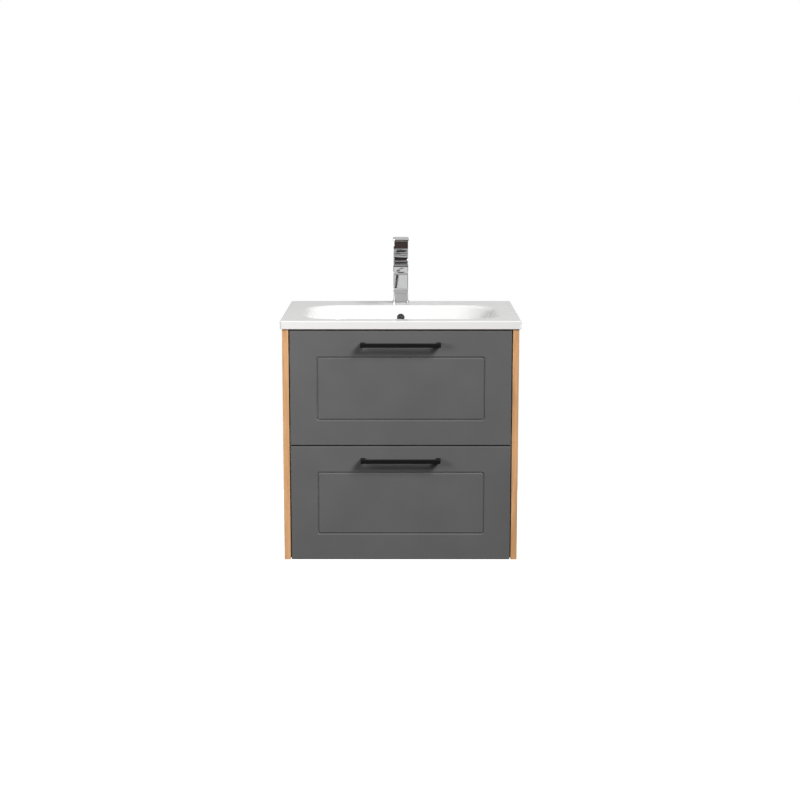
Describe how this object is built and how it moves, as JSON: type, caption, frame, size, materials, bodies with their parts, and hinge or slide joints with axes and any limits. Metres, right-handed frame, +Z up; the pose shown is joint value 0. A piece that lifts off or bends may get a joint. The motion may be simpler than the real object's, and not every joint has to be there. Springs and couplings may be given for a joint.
{
  "type": "bathroom vanity cabinet",
  "caption": "Wall-hung bathroom vanity: oak-sided cabinet with grooved grey drawers, bar handles, one-piece washbasin and square lever tap.",
  "frame": {"origin": "on the wall, on the centre line, at the centre of the wall bolts", "axes": "+X to the right as seen from the front, +Y into the wall, +Z up"},
  "size_m": [0.61, 0.485, 0.801],
  "materials": {
    "wood_decor": "satin oak decor melamine, vertical grain",
    "carcass_board": "satin oak decor melamine",
    "front_grey": "matte grey foil on MDF",
    "handle_black": "fine matte black powder coat",
    "box_grey": "light grey melamine",
    "zinc_steel": "bright zinc plate",
    "ceramic_white": "gloss white",
    "chrome": "polished",
    "brass": "turned",
    "white_plastic": "moulded",
    "rubber_black": "matte"
  },
  "bodies": {
    "root": {"side_panel_left": "wood_decor", "side_panel_right": "wood_decor", "bottom_panel": "carcass_board", "back_rail_upper": "carcass_board", "back_rail_lower": "carcass_board", "front_top_rail": "carcass_board", "front_rail_brackets": "zinc_steel", "cam_fasteners": "zinc_steel", "drawer_bumpers": "rubber_black", "wall_rail": "zinc_steel", "hanger_bodies": "white_plastic", "hanger_hooks": "zinc_steel", "runner_cabinet_members": "zinc_steel", "runner_screws": "zinc_steel", "basin": "ceramic_white", "overflow_ring": "chrome", "waste_body": "chrome", "waste_gasket": "rubber_black", "waste_locknut": "brass", "trap_tailpiece": "chrome", "trap_body": "chrome", "trap_cup": "chrome", "trap_nuts": "chrome", "trap_outlet_pipe": "chrome", "tap_base_plate": "chrome", "tap_plinth": "chrome", "tap_body": "chrome", "tap_aerator": "chrome", "tap_aerator_insert": "white_plastic", "tap_shank": "brass", "tap_washer": "rubber_black", "tap_nut": "brass", "tap_cartridge": "white_plastic"},
    "upper_drawer": {"upper_front": "front_grey", "upper_handle_bar": "handle_black", "upper_handle_posts": "handle_black", "upper_handle_screws": "zinc_steel", "upper_box_sides": "box_grey", "upper_box_front": "box_grey", "upper_box_bottom": "box_grey", "upper_box_backs": "box_grey", "upper_cutout_sides": "box_grey", "upper_cutout_front": "box_grey", "upper_runner_drawer_members": "zinc_steel"},
    "lower_drawer": {"lower_front": "front_grey", "lower_handle_bar": "handle_black", "lower_handle_posts": "handle_black", "lower_handle_screws": "zinc_steel", "lower_box_sides": "box_grey", "lower_box_front": "box_grey", "lower_box_bottom": "box_grey", "lower_box_back": "box_grey", "lower_runner_drawer_members": "zinc_steel"},
    "upper_runner": {"upper_runner_middle_members": "zinc_steel"},
    "lower_runner": {"lower_runner_middle_members": "zinc_steel"},
    "tap_stem": {"tap_stem": "brass"},
    "tap_lever": {"tap_lever": "chrome", "tap_lever_pin": "brass"},
    "waste_plug": {"waste_plug": "chrome"}
  },
  "joints": [
    {"name": "upper_drawer_slide", "type": "slide", "parent": "root", "child": "upper_drawer", "axis": [0, -1, 0], "range_m": [0, 0.35]},
    {"name": "lower_drawer_slide", "type": "slide", "parent": "root", "child": "lower_drawer", "axis": [0, -1, 0], "range_m": [0, 0.35]},
    {"name": "upper_runner_slide", "type": "slide", "parent": "root", "child": "upper_runner", "axis": [0, -1, 0], "range_m": [0, 0.175]},
    {"name": "lower_runner_slide", "type": "slide", "parent": "root", "child": "lower_runner", "axis": [0, -1, 0], "range_m": [0, 0.175]},
    {"name": "tap_turn", "type": "hinge", "parent": "root", "child": "tap_stem", "pos_m": [0, -0.042, 0.229], "axis": [0, 0, 1], "range_deg": [-45, 45]},
    {"name": "tap_lift", "type": "hinge", "parent": "tap_stem", "child": "tap_lever", "pos_m": [0, -0.03, 0.236], "axis": [-1, 0, 0], "range_deg": [0, 22]},
    {"name": "waste_plug_lift", "type": "slide", "parent": "root", "child": "waste_plug", "axis": [0, 0, 1], "range_m": [0, 0.01]}
  ],
  "couplings": [
    {"joint": "upper_runner_slide", "follows": "upper_drawer_slide", "ratio": 0.5},
    {"joint": "lower_runner_slide", "follows": "lower_drawer_slide", "ratio": 0.5}
  ]
}
